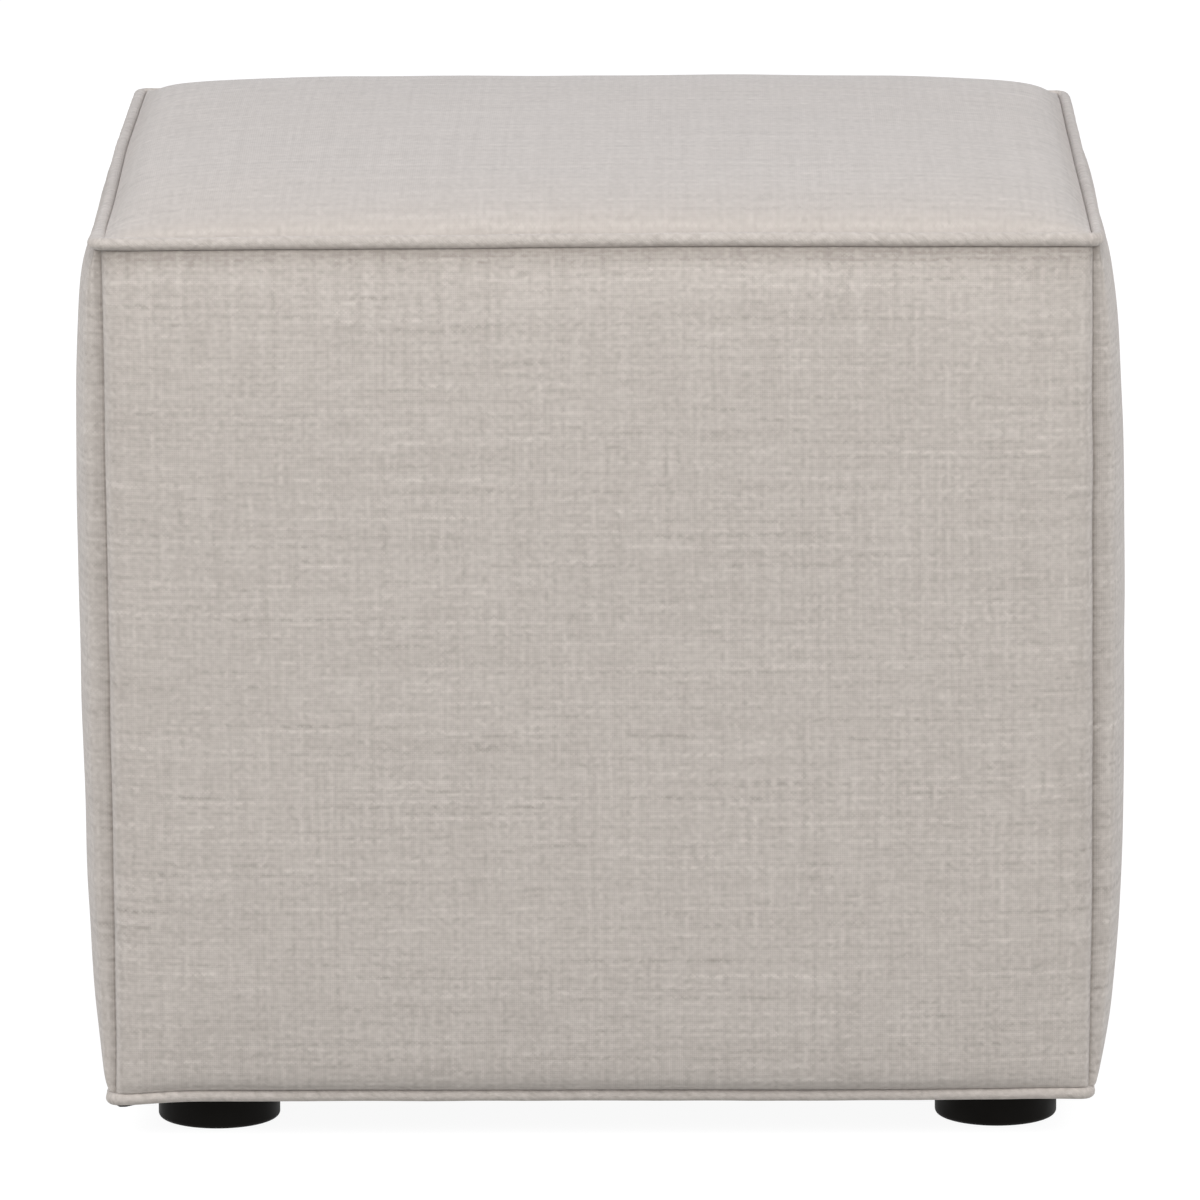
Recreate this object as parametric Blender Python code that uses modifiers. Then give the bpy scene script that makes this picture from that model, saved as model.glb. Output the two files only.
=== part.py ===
"""Cube pouf stool: five padded cloth panels sewn into a box, a round welt sewn into the seam at its
top and bottom edge, a black base and four round plastic feet.

Metres, +Z up, front towards -Y. The origin is on the floor, under the middle of the footprint.
"""
import math
from collections import namedtuple

import bmesh
import bpy
from mathutils import Matrix, Vector

# Driving sizes of the cover
SEAM_SPAN = 0.425          # width and depth between the upright seams
SEAM_TOP = 0.3932          # height of the seam round the top
SEAM_BOTTOM = 0.0226       # height of the seam round the bottom
PAD_DEPTH = 0.050          # how far a padded panel reaches in from its seams
LEAN = 0.0023              # how far the top seam has slipped towards -X over the bottom one
GAP = 0.0003               # clearance between pieces that touch

# Shape of the stuffing
CORNER_DRAW = 0.0015       # how far the stitching draws in a panel's corners
CORNER_REACH = 12          # the higher, the closer to the corner that pull stays
PANEL_CELLS = 16           # faces along each side of a panel

# Welts
WELT_RADIUS = 0.0025
WELT_STAND = 0.0020        # the welt's centre stands this far out of both panels beside it
WELT_CORNER = 0.004        # corner radius of its centre line
WELT_CORNER_STEPS = 5

# Base and feet
BASE_UNDERSIDE = 0.0185
BASE_EDGE = 0.0046         # height of the base's upright edge, below its mitre
BASE_MITRE = 0.020
BASE_INSET = 0.0010        # from the bottom seam
BASE_CORNER = 0.008
FOOT_RADIUS = 0.02675
FOOT_ROUND = 0.002         # radius of a foot's lower edge
FOOT_ROUND_STEPS = 5
FOOT_STEPS = 36

LINEN = (0.56, 0.51, 0.46, 1.0)
WELT_LINEN = (0.58, 0.53, 0.48, 1.0)
DUST_CLOTH = (0.012, 0.011, 0.010, 1.0)
BLACK_PLASTIC = (0.008, 0.007, 0.006, 1.0)

# turn: degrees about Z from the front. bulge: how far the middle stands out of the seams.
# across and up: how flat the middle is in each direction, from 2, round, to 8, nearly flat.
# across_rise and up_rise: how steeply the cloth leaves its seams, 0.5 as a circle does, less is
# steeper. high: how much fuller the panel is towards its upper edge than in its middle.
Panel = namedtuple("Panel", "name turn bulge across across_rise up up_rise high")
SIDE_PANELS = [
    Panel("front_panel", 0, 0.0160, 4.5, 0.30, 3.2, 0.30, 0.05),
    Panel("right_panel", 90, 0.0170, 4.5, 0.30, 2.7, 0.37, 0.05),
    Panel("back_panel", 180, 0.0164, 4.5, 0.30, 3.0, 0.33, 0.04),
    Panel("left_panel", 270, 0.0168, 4.5, 0.30, 3.2, 0.25, 0.06),
]
TOP_PANEL = Panel("top_panel", 0, 0.0205, 4.1, 0.29, 4.0, 0.36, 0.0)

# Where each foot's axis stands from the middle of the base, screwed on by eye
Foot = namedtuple("Foot", "name x y")
FEET = [
    Foot("foot_front_left", -0.1700, -0.1715),
    Foot("foot_front_right", 0.1715, -0.1680),
    Foot("foot_back_right", 0.1705, 0.1710),
    Foot("foot_back_left", -0.1710, 0.1705),
]

SEAM_MIDDLE = (SEAM_TOP + SEAM_BOTTOM) / 2
SEAM_HEIGHT = SEAM_TOP - SEAM_BOTTOM
HALF_SPAN = SEAM_SPAN / 2
SEAM_INSET = GAP / math.sqrt(2)


def clear_scene():
    for thing in list(bpy.data.objects):
        bpy.data.objects.remove(thing, do_unlink=True)


def make_material(name, colour, roughness):
    material = bpy.data.materials.new(name)
    material.use_nodes = True
    shader = material.node_tree.nodes["Principled BSDF"]
    shader.inputs["Base Color"].default_value = colour
    shader.inputs["Roughness"].default_value = roughness
    shader.inputs["Metallic"].default_value = 0.0
    return material


def make_object(name, mesh, collection, material):
    mesh.materials.append(material)
    thing = bpy.data.objects.new(name, mesh)
    collection.objects.link(thing)
    return thing


def swell(t, flatness, rise):
    """Fullness across a stuffed panel, 0 on its seams and 1 in the middle, for t from -1 to 1."""
    return (1 - min(abs(t), 1.0) ** flatness) ** rise


def lean_over(point):
    """The cover's sideways slip at a point's height."""
    slip = -LEAN * (point.z - SEAM_MIDDLE) / SEAM_HEIGHT
    return Vector((point.x + slip, point.y, point.z))


def panel_mesh(panel, half_height, place):
    """A crowned pad lying in XY, its four sides mitred at 45 degrees, turned to where it is sewn."""
    half_x = HALF_SPAN - SEAM_INSET
    half_y = half_height - SEAM_INSET
    pad = bmesh.new()
    bmesh.ops.create_grid(pad, x_segments=PANEL_CELLS, y_segments=PANEL_CELLS, size=1)

    rim = [edge for edge in pad.edges if edge.is_boundary]
    walls = bmesh.ops.extrude_edge_only(pad, edges=rim)["geom"]
    back_verts = [part for part in walls if isinstance(part, bmesh.types.BMVert)]
    back_edges = [part for part in walls if isinstance(part, bmesh.types.BMEdge) and part.is_boundary]
    bmesh.ops.contextual_create(pad, geom=back_edges)

    inner_x = 1 - PAD_DEPTH / half_x
    inner_y = 1 - PAD_DEPTH / half_y
    behind = set(back_verts)
    for vert in pad.verts:
        across = math.sin(vert.co.x * math.pi / 2)
        upward = math.sin(vert.co.y * math.pi / 2)
        if vert in behind:
            vert.co = (across * half_x * inner_x, upward * half_y * inner_y, -PAD_DEPTH)
            continue
        draw = CORNER_DRAW * abs(across * upward) ** CORNER_REACH
        fullness = swell(across, panel.across, panel.across_rise) * swell(upward, panel.up, panel.up_rise)
        vert.co = (
            across * half_x - math.copysign(draw, across),
            upward * half_y - math.copysign(draw, upward),
            panel.bulge * fullness * (1 + panel.high * upward),
        )
    bmesh.ops.transform(pad, matrix=place, verts=pad.verts)
    for vert in pad.verts:
        vert.co = lean_over(vert.co)
    bmesh.ops.recalc_face_normals(pad, faces=pad.faces)

    mesh = bpy.data.meshes.new(panel.name)
    pad.to_mesh(mesh)
    pad.free()
    mesh.shade_smooth()
    mesh.set_sharp_from_angle(angle=math.radians(50))
    return mesh


def make_side_panels(collection, material):
    for panel in SIDE_PANELS:
        turn = Matrix.Rotation(math.radians(panel.turn), 4, "Z")
        stand_up = Matrix.Rotation(math.radians(90), 4, "X")
        place = turn @ Matrix.Translation((0, -HALF_SPAN, SEAM_MIDDLE)) @ stand_up
        mesh = panel_mesh(panel, SEAM_HEIGHT / 2, place)
        make_object(panel.name, mesh, collection, material(panel.name))


def make_top_panel(collection, material):
    place = Matrix.Translation((0, 0, SEAM_TOP))
    mesh = panel_mesh(TOP_PANEL, HALF_SPAN, place)
    make_object(TOP_PANEL.name, mesh, collection, material(TOP_PANEL.name))


def welt_path(height):
    """The welt's centre line: a square with rounded corners, outside the seam that it is sewn into."""
    arc_centre = HALF_SPAN + WELT_STAND - WELT_CORNER
    points = []
    for corner in range(4):
        start = corner * math.pi / 2
        quarter = Matrix.Rotation(start, 4, "Z")
        middle = quarter @ Vector((arc_centre, arc_centre, height))
        for step in range(WELT_CORNER_STEPS + 1):
            angle = start + step / WELT_CORNER_STEPS * math.pi / 2
            points.append(middle + WELT_CORNER * Vector((math.cos(angle), math.sin(angle), 0)))
    return [lean_over(point) for point in points]


def make_welt(name, height, collection, material):
    curve = bpy.data.curves.new(name, "CURVE")
    curve.dimensions = "3D"
    curve.bevel_depth = WELT_RADIUS
    curve.bevel_resolution = 2
    spline = curve.splines.new("POLY")
    path = welt_path(height)
    spline.points.add(len(path) - 1)
    for point, place in zip(spline.points, path):
        point.co = (*place, 1)
    spline.use_cyclic_u = True
    spline.use_smooth = True
    curve.materials.append(material)
    welt = bpy.data.objects.new(name, curve)
    collection.objects.link(welt)


def make_base(collection, material):
    """The base board in its dust cloth: an upright edge inside the bottom welt, mitred above it."""
    half = HALF_SPAN - BASE_INSET
    base = bmesh.new()
    bmesh.ops.create_cube(base, size=1, matrix=Matrix.Diagonal((2 * half, 2 * half, BASE_EDGE, 1)))
    upright = [edge for edge in base.edges if abs(edge.verts[0].co.z - edge.verts[1].co.z) > GAP]
    bmesh.ops.bevel(base, geom=upright, offset=BASE_CORNER, offset_type="OFFSET", affect="EDGES",
                    segments=4, profile=0.5, material=-1)
    top = max(base.faces, key=lambda face: face.calc_center_median().z)
    raised = bmesh.ops.extrude_discrete_faces(base, faces=[top])["faces"][0]
    narrowing = 1 - BASE_MITRE / half
    bmesh.ops.scale(base, vec=(narrowing, narrowing, 1), verts=raised.verts)
    bmesh.ops.translate(base, vec=(0, 0, BASE_MITRE), verts=raised.verts)
    slip = lean_over(Vector((0, 0, SEAM_BOTTOM))).x
    bmesh.ops.translate(base, vec=(slip, 0, BASE_UNDERSIDE + BASE_EDGE / 2), verts=base.verts)
    bmesh.ops.recalc_face_normals(base, faces=base.faces)
    mesh = bpy.data.meshes.new("base")
    base.to_mesh(mesh)
    base.free()
    make_object("base", mesh, collection, material)


def foot_profile():
    """Half of a foot's section, from the middle of its top down to the middle of its flat bottom."""
    top = BASE_UNDERSIDE - GAP
    points = [(0, top), (FOOT_RADIUS, top)]
    for step in range(FOOT_ROUND_STEPS + 1):
        angle = step / FOOT_ROUND_STEPS * math.pi / 2
        x = FOOT_RADIUS - FOOT_ROUND + FOOT_ROUND * math.cos(angle)
        points.append((x, FOOT_ROUND - FOOT_ROUND * math.sin(angle)))
    points.append((0, 0))
    return points


def make_feet(collection, material):
    slip = lean_over(Vector((0, 0, SEAM_BOTTOM))).x
    profile = bmesh.new()
    verts = [profile.verts.new((x, 0, z)) for x, z in foot_profile()]
    for upper, lower in zip(verts, verts[1:]):
        profile.edges.new((upper, lower))
    mesh = bpy.data.meshes.new("foot")
    profile.to_mesh(mesh)
    profile.free()
    for row in FEET:
        foot = make_object(row.name, mesh.copy(), collection, material(row.name))
        foot.location = (slip + row.x, row.y, 0)
        screw = foot.modifiers.new("Turned", "SCREW")
        screw.steps = FOOT_STEPS
        screw.render_steps = FOOT_STEPS
        screw.use_merge_vertices = True
        screw.merge_threshold = 0.00001
        screw.use_smooth_shade = True


def centre_footprint(collection):
    """Slides the whole stool so that the middle of its footprint is over the origin."""
    bpy.context.view_layer.update()
    corners = [thing.matrix_world @ Vector(corner) for thing in collection.objects
               for corner in thing.bound_box]
    middle = [(min(c[axis] for c in corners) + max(c[axis] for c in corners)) / 2 for axis in (0, 1)]
    for thing in collection.objects:
        thing.location.x -= middle[0]
        thing.location.y -= middle[1]


def main():
    clear_scene()
    stool = bpy.data.collections.new("cube_pouf_stool")
    bpy.context.scene.collection.children.link(stool)

    def linen(name):
        return make_material(name + "_linen", LINEN, 0.9)

    def plastic(name):
        return make_material(name + "_plastic", BLACK_PLASTIC, 0.45)

    make_side_panels(stool, linen)
    make_top_panel(stool, linen)
    make_welt("top_welt", SEAM_TOP + WELT_STAND, stool, make_material("top_welt_linen", WELT_LINEN, 0.9))
    make_welt("bottom_welt", SEAM_BOTTOM - WELT_STAND, stool,
              make_material("bottom_welt_linen", WELT_LINEN, 0.9))
    make_base(stool, make_material("base_cloth", DUST_CLOTH, 0.95))
    make_feet(stool, plastic)
    centre_footprint(stool)


main()
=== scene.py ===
import math
from collections import namedtuple

import bmesh
import bpy
from mathutils import Matrix, Vector, noise


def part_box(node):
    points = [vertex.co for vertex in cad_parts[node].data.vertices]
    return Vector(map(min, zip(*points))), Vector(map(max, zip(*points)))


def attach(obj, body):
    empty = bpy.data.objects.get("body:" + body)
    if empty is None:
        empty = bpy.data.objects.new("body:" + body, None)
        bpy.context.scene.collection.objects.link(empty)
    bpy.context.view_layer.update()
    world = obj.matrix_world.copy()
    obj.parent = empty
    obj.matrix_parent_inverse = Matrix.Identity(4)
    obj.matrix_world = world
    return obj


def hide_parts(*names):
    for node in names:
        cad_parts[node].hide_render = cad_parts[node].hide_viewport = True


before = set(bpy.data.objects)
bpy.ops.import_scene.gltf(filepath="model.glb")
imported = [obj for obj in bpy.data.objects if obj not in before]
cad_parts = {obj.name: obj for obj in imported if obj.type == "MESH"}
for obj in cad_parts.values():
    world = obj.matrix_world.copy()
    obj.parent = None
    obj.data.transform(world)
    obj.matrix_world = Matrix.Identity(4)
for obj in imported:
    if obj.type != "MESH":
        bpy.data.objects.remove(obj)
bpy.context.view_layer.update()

# Stage: a camera in front of the stool and a little above it, turned and tipped very slightly, a
# pale floor that runs back out of view, and soft studio light from overhead, both sides and the room.
LENS, SENSOR = 310.83, 36.0
CAMERA_PLACE = Vector((0.0413, -4.597, 1.1183))    # from the middle of the seams, over the floor
CAMERA_DOWN, CAMERA_LEFT, CAMERA_TIP = 11.34, 0.543, 0.194
CAMERA_REACH = 100
FLOOR_SIDE = 40.0
FLOOR_GREY = (0.12, 0.12, 0.12, 1)
FLOOR_GLOW = 0.93          # the pale floor is mostly lit from within, so it hardly takes a shadow
ROOM_ABOVE, ROOM_BELOW = (0.60, 0.612, 0.65, 1.0), (0.55, 0.55, 0.54, 1.0)
ROOM_BLEND = 1.5           # the higher, the sooner the room turns from its lower to its upper colour

top_low, top_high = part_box("top_welt")
bottom_low, bottom_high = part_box("bottom_welt")
middle = (top_low + top_high + bottom_low + bottom_high) / 4

camera = bpy.data.objects.new("camera", bpy.data.cameras.new("camera"))
bpy.context.scene.collection.objects.link(camera)
camera.data.lens, camera.data.sensor_width = LENS, SENSOR
camera.data.clip_end = CAMERA_REACH
turn = Matrix.Rotation(math.radians(CAMERA_LEFT), 4, "Z")
tilt = Matrix.Rotation(math.radians(90 - CAMERA_DOWN), 4, "X")
tip = Matrix.Rotation(math.radians(-CAMERA_TIP), 4, "Z")
camera_point = Vector((middle.x, middle.y, 0)) + CAMERA_PLACE
camera.matrix_world = Matrix.Translation(camera_point) @ turn @ tilt @ tip
bpy.context.scene.camera = camera
bpy.context.scene.view_settings.view_transform = "Standard"


class Value:
    """An output in a material's node tree, so that a finish can be written as sums."""

    noise_spread = 1.3     # what takes a noise of 0 to 1, mostly about its middle, to about -1 to 1

    def __init__(self, tree, socket):
        self.tree, self.socket = tree, socket

    def node(self, kind, settings, inputs, output=0):
        made = self.tree.nodes.new(kind)
        for name, setting in settings.items():
            setattr(made, name, setting)
        for name, value in inputs.items():
            if isinstance(value, Value):
                self.tree.links.new(value.socket, made.inputs[name])
            else:
                made.inputs[name].default_value = value
        return Value(self.tree, made.outputs[output])

    def math(self, operation, *values):
        return self.node("ShaderNodeMath", {"operation": operation}, dict(enumerate(values)))

    def __add__(self, other):
        return self.math("ADD", self, other)

    def __sub__(self, other):
        return self.math("SUBTRACT", self, other)

    def __rsub__(self, other):
        return self.math("SUBTRACT", other, self)

    def __mul__(self, other):
        return self.math("MULTIPLY", self, other)

    def __truediv__(self, other):
        return self.math("DIVIDE", self, other)

    def __pow__(self, other):
        return self.math("POWER", self, other)

    __radd__, __rmul__ = __add__, __mul__

    def limited(self):
        """The same value kept from 0 to 1."""
        return self.math("MAXIMUM", self.math("MINIMUM", self, 1.0), 0.0)

    def patches(self, x, y, z):
        """Smooth noise from about -1 to 1 over a point whose unit is one patch."""
        where = self.node("ShaderNodeCombineXYZ", {}, {"X": x, "Y": y, "Z": z})
        sizes = {"Vector": where, "Scale": 1.0, "Detail": 0.0, "Roughness": 0.5}
        cloud = self.node("ShaderNodeTexNoise", {"noise_dimensions": "3D"}, sizes)
        return cloud * (2 * self.noise_spread) - self.noise_spread


def new_material(name, colour, roughness):
    """A material with its colour and roughness set, its shader, and where to hang nodes on it."""
    material = bpy.data.materials.new(name)
    material.use_nodes = True
    shader = material.node_tree.nodes["Principled BSDF"]
    shader.inputs["Base Color"].default_value = colour
    shader.inputs["Roughness"].default_value = roughness
    return material, shader, Value(material.node_tree, shader.outputs[0])


def lay_out(name, mesh, material):
    mesh.materials.append(material)
    thing = bpy.data.objects.new(name, mesh)
    bpy.context.scene.collection.objects.link(thing)
    return thing


floor_form = bmesh.new()
bmesh.ops.create_grid(floor_form, x_segments=1, y_segments=1, size=FLOOR_SIDE / 2)
floor_mesh = bpy.data.meshes.new("floor")
floor_form.to_mesh(floor_mesh)
floor_form.free()
sweep_table, sweep_shader, _ = new_material("sweep_table", FLOOR_GREY, 0.9)
sweep_shader.inputs["Emission Color"].default_value = (1, 1, 1, 1)
sweep_shader.inputs["Emission Strength"].default_value = FLOOR_GLOW
floor = lay_out("floor", floor_mesh, sweep_table)
floor.visible_diffuse = False

room = bpy.data.worlds.new("room")
room.use_nodes = True
start = Value(room.node_tree, None)
way = start.node("ShaderNodeTexCoord", {}, {})
upward = start.node("ShaderNodeSeparateXYZ", {}, {"Vector": way}, 2)
blend = {"Factor": (upward * ROOM_BLEND + 0.5).limited(), "A": ROOM_BELOW, "B": ROOM_ABOVE}
daylight = start.node("ShaderNodeMix", {"data_type": "RGBA"}, blend, 2)
room.node_tree.links.new(daylight.socket, room.node_tree.nodes["Background"].inputs["Color"])
bpy.context.scene.world = room

# name, where it stands, what it looks at, width, height, watts, colour
Softbox = namedtuple("Softbox", "name place aim width height watts colour")
SOFTBOXES = [
    Softbox("overhead_softbox", (0.0, 0.35, 2.4), (0, 0, 0), 2.4, 2.0, 0.6, (0.97, 0.985, 1.0)),
    Softbox("left_softbox", (-1.9, -1.6, 1.9), (0, 0, 0.2), 1.6, 1.6, 40, (1.0, 0.985, 0.96)),
    Softbox("right_softbox", (1.9, -1.6, 1.9), (0, 0, 0.2), 1.6, 1.6, 38, (1.0, 0.985, 0.96)),
]
for row in SOFTBOXES:
    light = bpy.data.lights.new(row.name, "AREA")
    light.shape, light.size, light.size_y = "RECTANGLE", row.width, row.height
    light.energy, light.color = row.watts, row.colour
    softbox = bpy.data.objects.new(row.name, light)
    bpy.context.scene.collection.objects.link(softbox)
    view = Vector(row.aim) - Vector(row.place)
    facing = view.to_track_quat("-Z", "Y").to_matrix().to_4x4()
    softbox.matrix_world = Matrix.Translation(row.place) @ facing


# Five padded panels: squares of one light beige linen-look cloth over foam, sewn to each other along
# the upright corners and into the welts above and below. Each is taut and crowned in its middle, rolls
# over into its seams, and is closed behind, mitred where it meets its neighbours.
PAD_DEPTH = 0.050
FOLD_DEPTH = 0.003         # how deep the seam allowances are turned in, on the way to the pad's back
PANEL_CELLS = 180
CROWDING = 0.9             # how much narrower the cells get towards the seams, 0 for not at all
UPPER_SHADE, SHADE_REACH = 0.42, 0.0080     # painted shade on the cloth under the top welt, standing in for the welt's shadow: how dark, how far
LINE_SHADE, LINE_REACH = 0.34, 0.0004       # the sewn line of an upright seam: how dark, how far
LIP_ROLL = 0.0003          # how far from a seam the cloth takes to rise onto its seam allowance
WIDE_LUMP, WIDE_LUMPS = 0.0007, 8           # the stuffing's lumps: how high, how many in a metre
SMALL_LUMP, SMALL_LUMPS = 0.0003, 26
LUMP_DEPTH = 0.008         # lumps and puckers are at their full height where the pad stands this high
END_PUCKER, SIDE_PUCKER = 0.0004, 0.0003    # how high, at the lower and upper seams and at the sides
PUCKERS, PUCKER_RUNS = 95, 14               # how many in a metre, along the seam and away from it
PUCKER_REACH = 0.010
SHARP_EDGE = 60

cord_radius = (top_high.z - top_low.z) / 2
SEAM_STAND = 0.0020        # the cords' centres stand this far out of the seam lines beside them
BOTTOM_SAG = 0.0010        # how far the lower seam hangs below the middle of its place
seam_top = top_low.z + cord_radius - SEAM_STAND
seam_bottom = bottom_low.z + cord_radius + SEAM_STAND - BOTTOM_SAG
seam_middle = (seam_top + seam_bottom) / 2
half_height = (seam_top - seam_bottom) / 2
half_span = (top_high.x - top_low.x) / 2 - cord_radius - SEAM_STAND

# turn: degrees about Z from the front. bulge: how far the middle stands out of the seams.
# across and up: how flat the middle is, the higher the flatter; across_rise and up_rise: how steeply
# the cloth leaves its seams, the lower the steeper. high: how much fuller towards its upper edge.
# rolls: how far from its side, lower and upper seams the cloth takes to roll out of them. lip: how
# far the seam allowance holds it out beside a welt. seed: where its lumps and its weave start.
Panel = namedtuple("Panel", "name turn bulge across across_rise up up_rise high rolls lip fill seed")
SIDE_ROLLS = (0.0008, 0.0015, 0.0045)
SIDE_PANELS = [
    Panel("front_panel", 0, 0.0160, 4.5, 0.30, 3.2, 0.30, 0.05, SIDE_ROLLS, 0.0034, 0.8, 3.0),
    Panel("right_panel", 90, 0.0170, 4.5, 0.30, 2.7, 0.37, 0.05, SIDE_ROLLS, 0.0034, 0.8, 17.0),
    Panel("back_panel", 180, 0.0164, 4.5, 0.30, 3.0, 0.33, 0.04, SIDE_ROLLS, 0.0034, 0.8, 31.0),
    Panel("left_panel", 270, 0.0163, 4.5, 0.30, 3.2, 0.25, 0.09, SIDE_ROLLS, 0.0034, 0.8, 47.0),
]
TOP_ROLLS = (0.0040, 0.0022, 0.0040)
TOP_PANEL = Panel("top_panel", 0, 0.0199, 4.1, 0.25, 4.0, 0.36, 0.0, TOP_ROLLS, 0.0050, 0.85, 61.0)

LEAN = 0.0023              # how far the top stands to the left of the bottom
LEFT_BOW = 0.0029          # how far the top's left edge bows out over its back two thirds
BOW_FROM = -0.65           # where the bow starts, with -1 at the front and 1 at the back
BOW_TAPER = 18             # the higher, the nearer to the top seam the bow stays
WANDER = 0.0004            # how far the seams wander from straight lines
WANDER_SEED = 312          # which way they wander, the same at every run
WANDER_WAVES = (9, 9, 28)  # how many in a metre, each way
FRONT_LIFT = 0.0011        # how far the front's top seam rises from its left end to its middle
LIFT_FROM = -0.85          # where that rise starts, with -1 at the left and 1 at the right
SLACK_CORNER = 0.3         # how much flatter the top is at its front left corner
SLACK_REACH = (0.045, 0.050)                # how far from that corner, to the right and to the back
# right and back: the corner, 1 or -1. high: whether it is at the top. move: how far the cover is
# pulled there. reach: how far from the corner little more than a third of the pull is left.
Pull = namedtuple("Pull", "right back high move reach")
COVER_PULLS = [
    Pull(1, 1, True, (0, -0.0030, -0.0015), 0.022),
    Pull(-1, -1, False, (-0.0006, 0, -0.0020), 0.022),
    Pull(1, -1, False, (-0.0017, 0, 0.0006), 0.060),
]
noise.seed_set(WANDER_SEED)


def ease(t):
    """A smooth step from 0 to 1 while t runs from 0 to 1."""
    t = min(max(t, 0.0), 1.0)
    return t * t * (3 - 2 * t)


def pull_share(point, pull):
    """How much of a corner's pull a point takes, 1 at the corner."""
    height = seam_top if pull.high else seam_bottom
    away = point - Vector((pull.right * half_span, pull.back * half_span, height))
    return math.exp(-(away.length / pull.reach) ** 2)


def settle(point):
    """Where a point of the cover ends up, with the finished stool's small slips from square."""
    rise = (point.z - seam_middle) / (2 * half_height)
    upper = min(max(rise + 0.5, 0.0), 1.0)
    right, back = point.x / half_span, point.y / half_span
    moved = Vector(point)
    moved.x += middle.x - LEAN * rise
    moved.y += middle.y
    moved.x -= LEFT_BOW * ease(back - BOW_FROM) * max(-right, 0.0) ** 2 * upper ** BOW_TAPER
    moved.z += FRONT_LIFT * ease(right - LIFT_FROM) * ease(-back) * upper ** 2
    from_corner = (right + 1) * half_span / SLACK_REACH[0] + (back + 1) * half_span / SLACK_REACH[1]
    slack = SLACK_CORNER * math.exp(-max(from_corner, 0.0))
    moved.z -= slack * max(point.z - seam_top, 0.0)
    for pull in COVER_PULLS:
        moved += Vector(pull.move) * pull_share(point, pull)
    waves = [place * number for place, number in zip(point, WANDER_WAVES)]
    moved += WANDER * noise.noise_vector(Vector(waves))
    return moved


def swell(t, flatness, rise):
    """Fullness across a stuffed panel, 0 on its seams and 1 in the middle, for t from -1 to 1."""
    return (1 - min(abs(t), 1.0) ** flatness) ** rise


def crowd(t):
    """Moves evenly spaced places from -1 to 1 closer together towards both ends."""
    return t + CROWDING * math.sin(math.pi * t) / math.pi


def roll_out(distance, roll):
    """How far the cloth has rolled out of a seam at a distance from it, from 0 to 1."""
    return 1 - math.exp(-max(distance, 0.0) / roll)


def cloth_lengths(half, bulge, flatness, rise, low_roll, high_roll):
    """The length along the cloth from the middle to each row of cells, over the panel's crown."""
    places = [crowd(-1 + 2 * i / PANEL_CELLS) for i in range(PANEL_CELLS + 1)]
    heights = [bulge * swell(t, flatness, rise) * roll_out(half * (1 + t), low_roll)
               * roll_out(half * (1 - t), high_roll) for t in places]
    lengths = [0.0]
    for i in range(PANEL_CELLS):
        run = (places[i + 1] - places[i]) * half
        lengths.append(lengths[-1] + math.hypot(run, heights[i + 1] - heights[i]))
    return [length - lengths[-1] / 2 for length in lengths]


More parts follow.
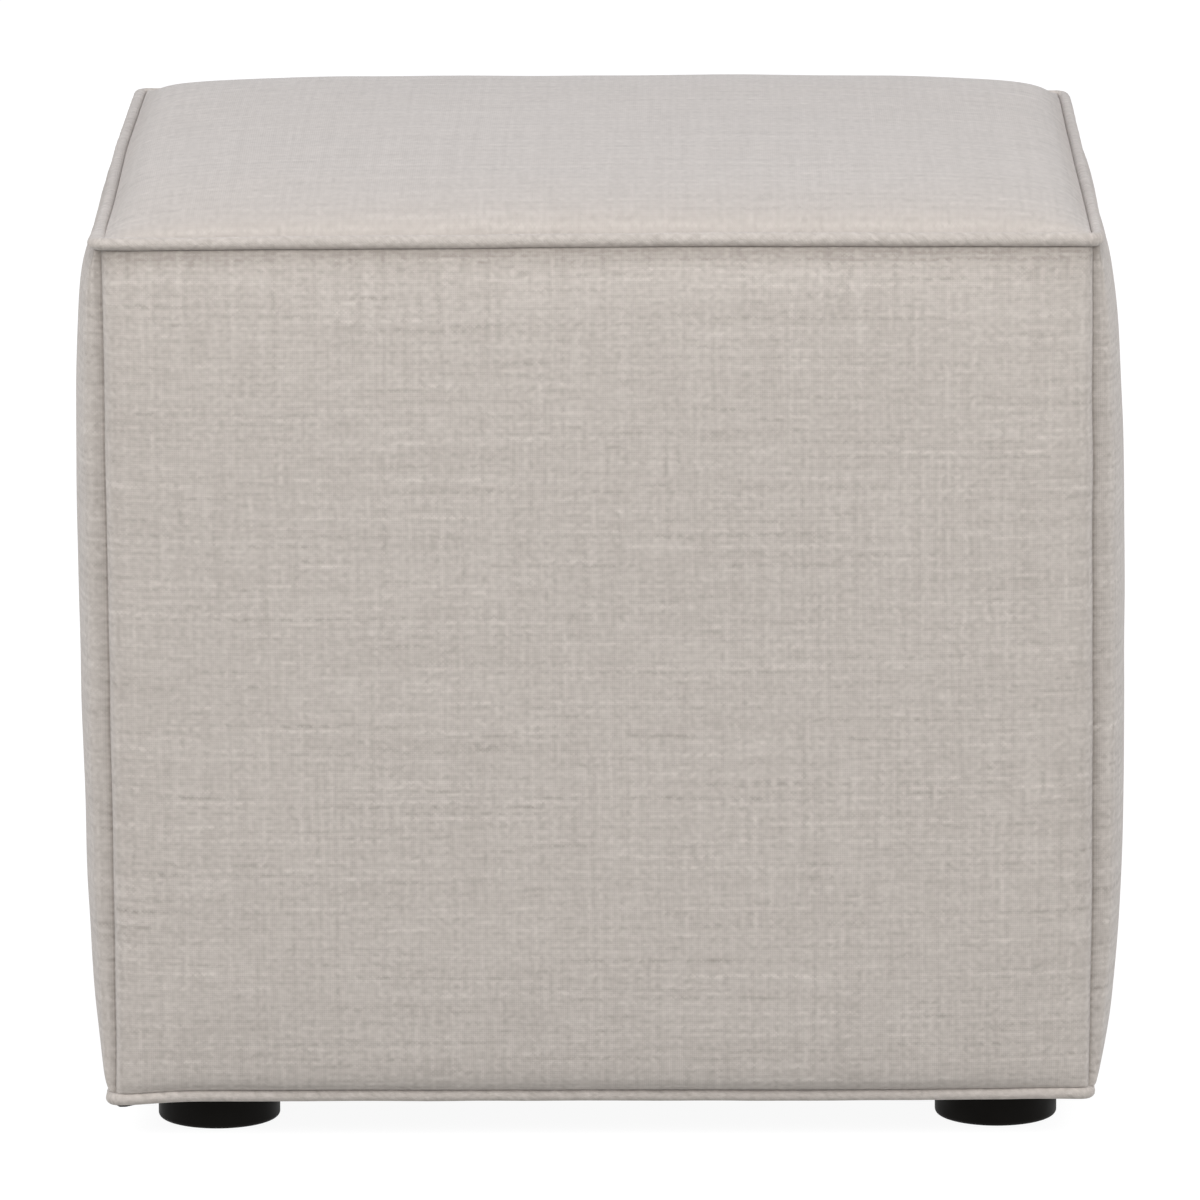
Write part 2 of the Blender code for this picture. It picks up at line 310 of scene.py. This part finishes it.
def panel_mesh(panel, edge_x, edge_y, place):
    """A crowned pad lying in XY, turned to where it is sewn, with a map of its weave in metres."""
    side_roll, low_roll, high_roll = panel.rolls
    pad = bmesh.new()
    bmesh.ops.create_grid(pad, x_segments=PANEL_CELLS, y_segments=PANEL_CELLS, size=1)
    weave = pad.loops.layers.uv.new("weave")
    shade = pad.verts.layers.float.new("painted_welt_shade")
    line = pad.verts.layers.float.new("sewn_line")
    along_x = cloth_lengths(edge_x, panel.bulge, panel.across, panel.across_rise, side_roll, side_roll)
    along_y = cloth_lengths(edge_y, panel.bulge, panel.up, panel.up_rise, low_roll, high_roll)
    for face in pad.faces:
        for loop in face.loops:
            column = round((loop.vert.co.x + 1) / 2 * PANEL_CELLS)
            row = round((loop.vert.co.y + 1) / 2 * PANEL_CELLS)
            loop[weave].uv = (along_x[column] + panel.seed, along_y[row] + panel.seed)

    front_verts = list(pad.verts)
    rings = []
    edges = [edge for edge in pad.edges if edge.is_boundary]
    for _ in range(2):
        made = bmesh.ops.extrude_edge_only(pad, edges=edges)["geom"]
        rings.append([part for part in made if isinstance(part, bmesh.types.BMVert)])
        edges = [part for part in made if isinstance(part, bmesh.types.BMEdge) and part.is_boundary]
    bmesh.ops.contextual_create(pad, geom=edges)
    for ring, depth in zip(rings, (FOLD_DEPTH, PAD_DEPTH)):
        for vert in ring:
            across, upward = crowd(vert.co.x), crowd(vert.co.y)
            vert.co = (across * (edge_x - depth), upward * (edge_y - depth), -depth)

    for vert in front_verts:
        across, upward = crowd(vert.co.x), crowd(vert.co.y)
        x, y = across * edge_x, upward * edge_y
        full = swell(across, panel.across, panel.across_rise) * swell(upward, panel.up, panel.up_rise)
        lumps = WIDE_LUMP * noise.noise(Vector((x * WIDE_LUMPS, y * WIDE_LUMPS, panel.seed)))
        small = Vector((x * SMALL_LUMPS, y * SMALL_LUMPS, panel.seed + 5))
        lumps += SMALL_LUMP * noise.noise(small)
        near_side = math.exp((abs(x) - edge_x) / PUCKER_REACH)
        near_end = math.exp((abs(y) - edge_y) / PUCKER_REACH)
        from_end = Vector((x * PUCKERS, y * PUCKER_RUNS, panel.seed + 9))
        from_side = Vector((x * PUCKER_RUNS, y * PUCKERS, panel.seed + 13))
        pucker = END_PUCKER * near_end * noise.noise(from_end)
        pucker += SIDE_PUCKER * near_side * noise.noise(from_side)
        height = panel.bulge * full * (1 + panel.high * upward)
        height *= roll_out(edge_y + y, low_roll) * roll_out(edge_y - y, high_roll)
        lip = panel.lip * roll_out(edge_y - abs(y), LIP_ROLL)
        if panel is TOP_PANEL:
            height *= roll_out(edge_x - abs(x), side_roll)
            lip *= roll_out(edge_x - abs(x), LIP_ROLL)
            height = math.hypot(height, lip)
        else:
            height = math.hypot(height, lip) * roll_out(edge_x - abs(x), side_roll)
            # painted shade: the colour is darkened just under the top welt, in place of the welt's
            # shadow
            vert[shade] = UPPER_SHADE * math.exp(-((edge_y - y) / SHADE_REACH) ** 2)
            vert[line] = LINE_SHADE * math.exp(-((edge_x - abs(x)) / LINE_REACH) ** 2)
        height += (lumps + pucker) * min(1.0, height / LUMP_DEPTH)
        vert.co = (x, y, height)
    bmesh.ops.transform(pad, matrix=place, verts=pad.verts)
    for vert in pad.verts:
        vert.co = settle(vert.co)
    bmesh.ops.recalc_face_normals(pad, faces=pad.faces)
    mesh = bpy.data.meshes.new(panel.name)
    pad.to_mesh(mesh)
    pad.free()
    mesh.shade_smooth()
    mesh.set_sharp_from_angle(angle=math.radians(SHARP_EDGE))
    return mesh


YARN = 0.00095             # half a wave of the weave, which is one yarn, both ways
STITCH = 0.0034            # from one stitch to the next along an upright seam
LINEN_DARK = (0.335, 0.299, 0.268, 1)
LINEN_LIGHT = (0.690, 0.635, 0.588, 1)


def linen(name, turn=0.0, tones=1.0, stretch=1.0):
    """A plain weave of slubby yarns of slightly different tones, read from the cloth's own map.

    u and v are metres along the cloth, so a number beside them is how many patches go in a metre.
    turn is the angle of the weave, tones how strong its tones are, stretch how drawn out it is in v."""
    material, shader, start = new_material(name, LINEN_LIGHT, 0.85)
    shader.inputs["Sheen Weight"].default_value = 0.25
    shader.inputs["Sheen Roughness"].default_value = 0.45
    shader.inputs["Sheen Tint"].default_value = (0.93, 0.96, 1.0, 1)
    shader.inputs["Specular IOR Level"].default_value = 0.25
    flat = start.node("ShaderNodeUVMap", {"uv_map": "weave"}, {})
    turned = start.node("ShaderNodeMapping", {}, {"Vector": flat, "Rotation": (0, 0, turn)})
    split = start.node("ShaderNodeSeparateXYZ", {}, {"Vector": turned})
    u, v = split, Value(split.tree, split.socket.node.outputs["Y"]) / stretch

    warp = u / YARN + 0.35 * start.patches(u * 55, v * 9, 3.0)
    weft = v / YARN + 0.35 * start.patches(u * 9, v * 55, 8.0)
    over = start.math("SINE", warp * math.pi) * start.math("SINE", weft * math.pi)

    weft_tone = 0.8 * start.patches(u * 7, v * 470, 1.0) + 0.6 * start.patches(u * 50, v * 430, 6.0)
    warp_tone = 0.55 * start.patches(u * 430, v * 9, 2.0) + 0.35 * start.patches(u * 420, v * 58, 4.0)
    grain = start.patches(u * 370, v * 450, 15.0)
    weft_over = (0.5 + 1.3 * start.patches(u * 290, v * 350, 9.0) + 0.35 * over).limited()
    tone = weft_over * weft_tone + (1 - weft_over) * warp_tone + 0.44 * grain
    # painted shade between the yarns: the colour is darkened in the gaps where the yarns cross over and
    # under
    painted_yarn_gap_shade = (1 - start.math("ABSOLUTE", over)) ** 3.0
    # painted shade under the top welt, read from the panels' attribute and taken off the cloth's colour
    painted_welt_shade = start.node("ShaderNodeAttribute", {"attribute_name": "painted_welt_shade"}, {}, 2)
    sewn_line = start.node("ShaderNodeAttribute", {"attribute_name": "sewn_line"}, {}, 2)
    stitches = 0.75 + 0.25 * start.math("SINE", v * (2 * math.pi / STITCH))
    amount = 0.5 + tones * (0.30 * tone - 0.05 * painted_yarn_gap_shade + 0.02)
    amount = amount - painted_welt_shade - sewn_line * stitches
    colour = start.node("ShaderNodeMix", {"data_type": "RGBA"},
                        {"Factor": amount.limited(), "A": LINEN_DARK, "B": LINEN_LIGHT}, 2)
    material.node_tree.links.new(colour.socket, shader.inputs["Base Color"])
    height = start.math("ABSOLUTE", over) ** 0.5 + 0.25 * tone
    bump = start.node("ShaderNodeBump", {}, {"Height": height, "Strength": 0.35, "Distance": 0.00025})
    material.node_tree.links.new(bump.socket, shader.inputs["Normal"])
    return material


panel_linen = linen("panel_linen")
top_linen = linen("top_linen", tones=0.64, stretch=2.4)


def sew_on(panel, mesh, cloth):
    piece = lay_out(panel.name + "_cover", mesh, cloth)
    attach(piece, "root")
    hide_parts(panel.name)


for panel in SIDE_PANELS:
    swing = Matrix.Rotation(math.radians(panel.turn), 4, "Z")
    stand_up = Matrix.Rotation(math.radians(90), 4, "X")
    place = swing @ Matrix.Translation((0, -half_span, seam_middle)) @ stand_up
    sew_on(panel, panel_mesh(panel, half_span, half_height, place), panel_linen)
place = Matrix.Translation((0, 0, seam_top))
sew_on(TOP_PANEL, panel_mesh(TOP_PANEL, half_span, half_span, place), top_linen)


# Two welts: bias strips of the same cloth round a cord, 6 mm thick over all round the top and 5.3 mm
# round the bottom edge, caught in the seams there. Each is one closed loop, a little uneven where the
# machine stitching pulls, and bulkier or pulled aside at one corner.
WELT_CORNER = 0.004
WELT_SIDES = 16
WELT_STEP = 0.0025
CORNER_STEPS = 10
WELT_WANDER, WELT_WAVES = 0.00025, 35       # up and down: how far, how many in a metre
WELT_STITCH, STITCH_WAVES = 0.00012, 150    # outwards and up, and half of it in thickness

# seam: the height of its seam line. stand: how far its centre is out of the seam lines, both up or
# down, by over, and outwards. pulls: where the cord itself slips, with how much thicker it is there.
Welt = namedtuple("Welt", "name seam over stand radius seed pulls")
WELTS = [
    Welt("top_welt", seam_top, 1, 0.0023, 0.0030, 5.0,
         [(Pull(-1, -1, True, (0, 0, 0.0010), 0.022), 0.0009)]),
    Welt("bottom_welt", seam_bottom, -1, 0.0020, 0.00265, 23.0,
         [(Pull(1, -1, False, (-0.0017, 0, 0), 0.060), 0.0)]),
]


def welt_points(welt):
    """Points round the cord's centre line, each with the way that faces out of the stool there."""
    arc_centre = half_span + welt.stand - WELT_CORNER
    height = welt.seam + welt.over * welt.stand
    points = []
    for corner in range(4):
        quarter = Matrix.Rotation(corner * math.pi / 2, 4, "Z")
        bend = Vector((arc_centre, arc_centre, height))
        for step in range(CORNER_STEPS + 1):
            angle = step / CORNER_STEPS * math.pi / 2
            out = Vector((math.cos(angle), math.sin(angle), 0))
            points.append((quarter @ (bend + WELT_CORNER * out), quarter @ out))
        straight_steps = round(2 * arc_centre / WELT_STEP)
        for step in range(1, straight_steps):
            along = arc_centre - 2 * arc_centre * step / straight_steps
            centre = Vector((along, arc_centre + WELT_CORNER, height))
            points.append((quarter @ centre, quarter @ Vector((0, 1, 0))))
    return points


def make_welt(welt):
    tube = bmesh.new()
    weave = tube.loops.layers.uv.new("weave")
    ring = list(bmesh.ops.create_circle(tube, segments=WELT_SIDES, radius=1)["verts"])
    first_edges = edges = list(tube.edges)
    points = welt_points(welt)
    spots = {}
    for index, (centre, out) in enumerate(points):
        if index:
            made = bmesh.ops.extrude_edge_only(tube, edges=edges)["geom"]
            edges = [part for part in made if isinstance(part, bmesh.types.BMEdge)
                     and all(vert in made for vert in part.verts)]
            ring = [part for part in made if isinstance(part, bmesh.types.BMVert)]
        wander = WELT_WANDER * noise.noise(Vector((*(centre.xy * WELT_WAVES), welt.seed)))
        stitch = WELT_STITCH * noise.noise(Vector((*(centre.xy * STITCH_WAVES), welt.seed + 4)))
        radius = welt.radius + 0.5 * stitch
        core = centre + out * stitch + Vector((0, 0, wander + stitch))
        for pull, thicker in welt.pulls:
            share = pull_share(centre, pull)
            core += Vector(pull.move) * share
            radius += thicker * share
        for side, vert in enumerate(ring):
            angle = 2 * math.pi * side / WELT_SIDES
            facing = math.cos(angle) * out + math.sin(angle) * Vector((0, 0, 1))
            vert.co = settle(core + radius * facing)
            spots[vert] = (index, side)
    bmesh.ops.bridge_loops(tube, edges=edges + first_edges)
    bmesh.ops.recalc_face_normals(tube, faces=tube.faces)
    for face in tube.faces:
        rows = [spots[vert][0] for vert in face.verts]
        sides = [spots[vert][1] for vert in face.verts]
        for loop in face.loops:
            row, side = spots[loop.vert]
            row += len(points) if row == 0 and max(rows) > 1 else 0
            side += WELT_SIDES if side == 0 and max(sides) > 1 else 0
            around = 2 * math.pi * welt.radius * side / WELT_SIDES
            loop[weave].uv = (row * WELT_STEP + welt.seed, around)
    mesh = bpy.data.meshes.new(welt.name)
    tube.to_mesh(mesh)
    tube.free()
    mesh.shade_smooth()
    return mesh


welt_linen = linen("welt_linen", turn=math.pi / 4, tones=0.9)
for welt in WELTS:
    piece = lay_out(welt.name + "_cord", make_welt(welt), welt_linen)
    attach(piece, "root")
    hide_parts(welt.name)


# Base: the board that closes the underside and carries the feet, wrapped in black non-woven dust
# cloth, whose pressed fibres show as a fine, uneven mottle. The cloth hangs a little at the front left.
LOOSE_WIDTH = 0.026        # how far along its two sides the loose corner reaches, cut off from the rest
LOOSE_CORNER = Pull(-1, -1, False, (-0.0030, -0.0020, -0.0060), 0.016)
SAME_PLACE = 0.00001       # vertices nearer to each other than this are one

dust_cloth, dust_shader, start = new_material("dust_cloth", (0.012, 0.011, 0.010, 1), 0.95)
place = start.node("ShaderNodeTexCoord", {}, {}, 3)
fibres = start.node("ShaderNodeTexNoise", {}, {"Vector": place, "Scale": 900.0, "Detail": 3.0})
shades = {"Factor": fibres, "A": (0.005, 0.005, 0.004, 1), "B": (0.020, 0.018, 0.017, 1)}
mottle = start.node("ShaderNodeMix", {"data_type": "RGBA"}, shades, 2)
dust_cloth.node_tree.links.new(mottle.socket, dust_shader.inputs["Base Color"])
fuzz = start.node("ShaderNodeBump", {}, {"Height": fibres, "Strength": 0.4, "Distance": 0.0002})
dust_cloth.node_tree.links.new(fuzz.socket, dust_shader.inputs["Normal"])

board = bmesh.new()
board.from_mesh(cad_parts["base"].data)
bmesh.ops.remove_doubles(board, verts=board.verts, dist=SAME_PLACE)
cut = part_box("base")[0] + Vector((LOOSE_WIDTH, LOOSE_WIDTH, 0))
for across in (Vector((1, 0, 0)), Vector((0, 1, 0))):
    parts = list(board.verts) + list(board.edges) + list(board.faces)
    bmesh.ops.bisect_plane(board, geom=parts, plane_co=cut, plane_no=across)
for vert in board.verts:
    vert.co += Vector(LOOSE_CORNER.move) * pull_share(vert.co, LOOSE_CORNER)
board_mesh = bpy.data.meshes.new("base")
board.to_mesh(board_mesh)
board.free()
board_mesh.materials.clear()
piece = lay_out("base_board", board_mesh, dust_cloth)
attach(piece, "root")
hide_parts("base")


# Feet: four round glides moulded in black plastic with a softly rounded lower edge and a fine
# texture, screwed up under the base.
FOOT_EDGE = 0.002
FOOT_STEPS = 72
EDGE_STEPS = 6
FOOT_SHARP_EDGE = 50


def black_plastic():
    material, shader, start = new_material("black_plastic", (0.0045, 0.0036, 0.0026, 1), 0.55)
    shader.inputs["Specular IOR Level"].default_value = 0.08
    place = start.node("ShaderNodeTexCoord", {}, {}, 3)
    grain = start.node("ShaderNodeTexNoise", {}, {"Vector": place, "Scale": 1400.0, "Detail": 2.0})
    wear = start.node("ShaderNodeTexNoise", {}, {"Vector": place, "Scale": 90.0, "Detail": 3.0})
    material.node_tree.links.new((0.42 + 0.28 * wear).socket, shader.inputs["Roughness"])
    texture = start.node("ShaderNodeBump", {}, {"Height": grain, "Strength": 0.25, "Distance": 0.0001})
    material.node_tree.links.new(texture.socket, shader.inputs["Normal"])
    return material


def turned_foot(name, low, high):
    """A glide spun round its own axis: flat below, rounded over its lower edge, upright above."""
    axis = Vector(((low.x + high.x) / 2, (low.y + high.y) / 2, 0))
    radius = (high.x - low.x) / 2
    outline = [(0.0, low.z)]
    for step in range(EDGE_STEPS + 1):
        angle = step / EDGE_STEPS * math.pi / 2
        outline.append((radius - FOOT_EDGE + FOOT_EDGE * math.sin(angle),
                        low.z + FOOT_EDGE - FOOT_EDGE * math.cos(angle)))
    outline += [(radius, high.z), (0.0, high.z)]
    foot = bmesh.new()
    verts = [foot.verts.new(axis + Vector((out, 0, up))) for out, up in outline]
    edges = [foot.edges.new(pair) for pair in zip(verts, verts[1:])]
    bmesh.ops.spin(foot, geom=verts + edges, cent=axis, axis=(0, 0, 1), angle=2 * math.pi,
                   steps=FOOT_STEPS, use_merge=True)
    bmesh.ops.remove_doubles(foot, verts=foot.verts, dist=SAME_PLACE)
    bmesh.ops.recalc_face_normals(foot, faces=foot.faces)
    mesh = bpy.data.meshes.new(name)
    foot.to_mesh(mesh)
    foot.free()
    mesh.shade_smooth()
    mesh.set_sharp_from_angle(angle=math.radians(FOOT_SHARP_EDGE))
    return mesh


foot_plastic = black_plastic()
for name in ("foot_front_left", "foot_front_right", "foot_back_right", "foot_back_left"):
    piece = lay_out(name + "_glide", turned_foot(name, *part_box(name)), foot_plastic)
    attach(piece, "root")
    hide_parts(name)

bpy.context.view_layer.update()
